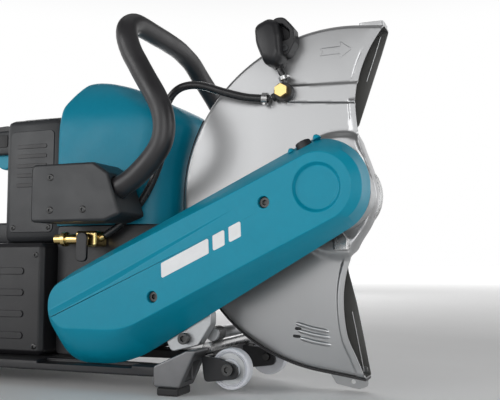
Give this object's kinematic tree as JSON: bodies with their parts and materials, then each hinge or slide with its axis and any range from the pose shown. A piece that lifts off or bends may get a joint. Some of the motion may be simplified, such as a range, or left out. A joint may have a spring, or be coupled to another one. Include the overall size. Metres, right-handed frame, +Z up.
{
  "type": "battery rescue saw",
  "caption": "Battery cut-off rescue saw with belt-drive arm, tilting wheel guard with water feed, wrap-around front handle, hood, rear grip, battery bay and base with rollers; no wheel fitted",
  "frame": {"origin": "centre of the area the saw covers, on the floor it stands on", "axes": "+X forward to the guard, +Y to the saw's left, +Z up"},
  "size_m": [0.648, 0.269, 0.4177],
  "materials": {
    "teal": "smooth satin teal moulding",
    "black_plastic": "fine textured black moulding",
    "grey_plastic": "fine textured dark grey moulding",
    "guard_paint": "satin silver grey paint on pressed sheet",
    "cast_alloy": "as cast light alloy",
    "steel": "machined",
    "brass": "machined",
    "rubber": "matt black",
    "nylon": "white nylon"
  },
  "bodies": {
    "chassis": {"belt_cover": "teal", "hood": "teal", "lower_housing": "black_plastic", "control_panel": "black_plastic", "battery_case": "black_plastic", "battery_right": "black_plastic", "battery_left": "black_plastic", "base_frame": "black_plastic", "handle_mount_right": "grey_plastic", "handle_mount_left": "grey_plastic", "rear_housing": "grey_plastic", "rear_handle": "grey_plastic", "fork_right": "grey_plastic", "fork_left": "grey_plastic", "arm": "cast_alloy", "motor_housing": "cast_alloy", "foot_right": "cast_alloy", "foot_left": "cast_alloy", "cross_tube": "cast_alloy", "damper_bar": "cast_alloy", "cover_screw_front": "steel", "cover_screw_rear": "steel", "arm_bolt": "steel", "spindle_bearing": "steel", "guard_stop_bracket": "steel", "motor_stator": "steel", "trigger_spring": "steel", "roller_bolt_right": "steel", "roller_bolt_left": "steel", "water_valve": "brass", "drive_belt": "rubber", "water_hose": "rubber", "front_handle": "rubber", "foot_pad_right": "rubber", "foot_pad_left": "rubber"},
    "guard": {"guard_near_shell": "guard_paint", "guard_far_shell": "guard_paint", "guard_edge_strip": "rubber", "guard_grip": "black_plastic", "grip_hose": "rubber", "banjo_body": "black_plastic", "banjo_bolt": "brass", "hose_clamp_upper": "steel", "hose_clamp_lower": "steel"},
    "spindle": {"spindle": "steel", "driven_pulley": "cast_alloy", "inner_flange": "steel", "outer_flange": "steel", "arbor_bolt": "steel"},
    "rotor": {"motor_rotor": "steel", "drive_pulley": "cast_alloy"},
    "roller_right": {"roller_right": "nylon"},
    "roller_left": {"roller_left": "nylon"},
    "trigger": {"trigger": "teal"},
    "lock_off_lever": {"lock_off_lever": "black_plastic"},
    "power_button": {"power_button": "teal"},
    "shaft_lock_button": {"shaft_lock_button": "black_plastic"},
    "battery_lid": {"battery_lid": "grey_plastic"},
    "lid_latch": {"lid_latch": "black_plastic"},
    "valve_lever": {"valve_lever": "black_plastic"}
  },
  "joints": [
    {"name": "guard_tilt", "type": "hinge", "parent": "chassis", "child": "guard", "pos_m": [0.276, -0.021, 0.208], "axis": [0, 1, 0], "range_deg": [-25, 20], "deforming": ["water_hose"]},
    {"name": "spindle_spin", "type": "hinge", "parent": "chassis", "child": "spindle", "pos_m": [0.276, -0.021, 0.208], "axis": [0, 1, 0], "continuous": true},
    {"name": "motor_spin", "type": "hinge", "parent": "chassis", "child": "rotor", "pos_m": [0.008, -0.0345, 0.08], "axis": [0, 1, 0], "continuous": true},
    {"name": "right_roller_spin", "type": "hinge", "parent": "chassis", "child": "roller_right", "pos_m": [0.169, -0.081, 0.027], "axis": [0, 1, 0], "continuous": true},
    {"name": "left_roller_spin", "type": "hinge", "parent": "chassis", "child": "roller_left", "pos_m": [0.169, 0.035, 0.027], "axis": [0, 1, 0], "continuous": true},
    {"name": "trigger_pull", "type": "hinge", "parent": "chassis", "child": "trigger", "pos_m": [-0.179, 0.0195, 0.287], "axis": [0, 1, 0], "range_deg": [0, 7], "stiffness_Nm_per_rad": 2, "springref_deg": -6.88, "deforming": ["trigger_spring"]},
    {"name": "lock_off_press", "type": "hinge", "parent": "chassis", "child": "lock_off_lever", "pos_m": [-0.198, 0.0195, 0.314], "axis": [0, 1, 0], "range_deg": [-5, 0], "stiffness_Nm_per_rad": 0.8, "springref_deg": 6.88},
    {"name": "power_press", "type": "slide", "parent": "chassis", "child": "power_button", "axis": [0, 0, -1], "range_m": [0, 0.0008], "stiffness_N_per_m": 400, "springref_m": -0.002},
    {"name": "shaft_lock_press", "type": "slide", "parent": "chassis", "child": "shaft_lock_button", "axis": [0.4337, 0, -0.9011], "range_m": [0, 0.003], "stiffness_N_per_m": 400, "springref_m": -0.003},
    {"name": "lid_hinge", "type": "hinge", "parent": "chassis", "child": "battery_lid", "pos_m": [-0.29, 0.0115, 0.165], "axis": [0, 1, 0], "range_deg": [0, 85]},
    {"name": "latch_turn", "type": "hinge", "parent": "battery_lid", "child": "lid_latch", "pos_m": [-0.316, 0.0105, 0.058], "axis": [1, 0, 0], "range_deg": [0, 90]},
    {"name": "valve_turn", "type": "hinge", "parent": "chassis", "child": "valve_lever", "pos_m": [-0.011, -0.0905, 0.164], "axis": [0, 1, 0], "range_deg": [0, 90]}
  ],
  "couplings": [
    {"joint": "motor_spin", "follows": "spindle_spin", "ratio": 1.6316}
  ]
}
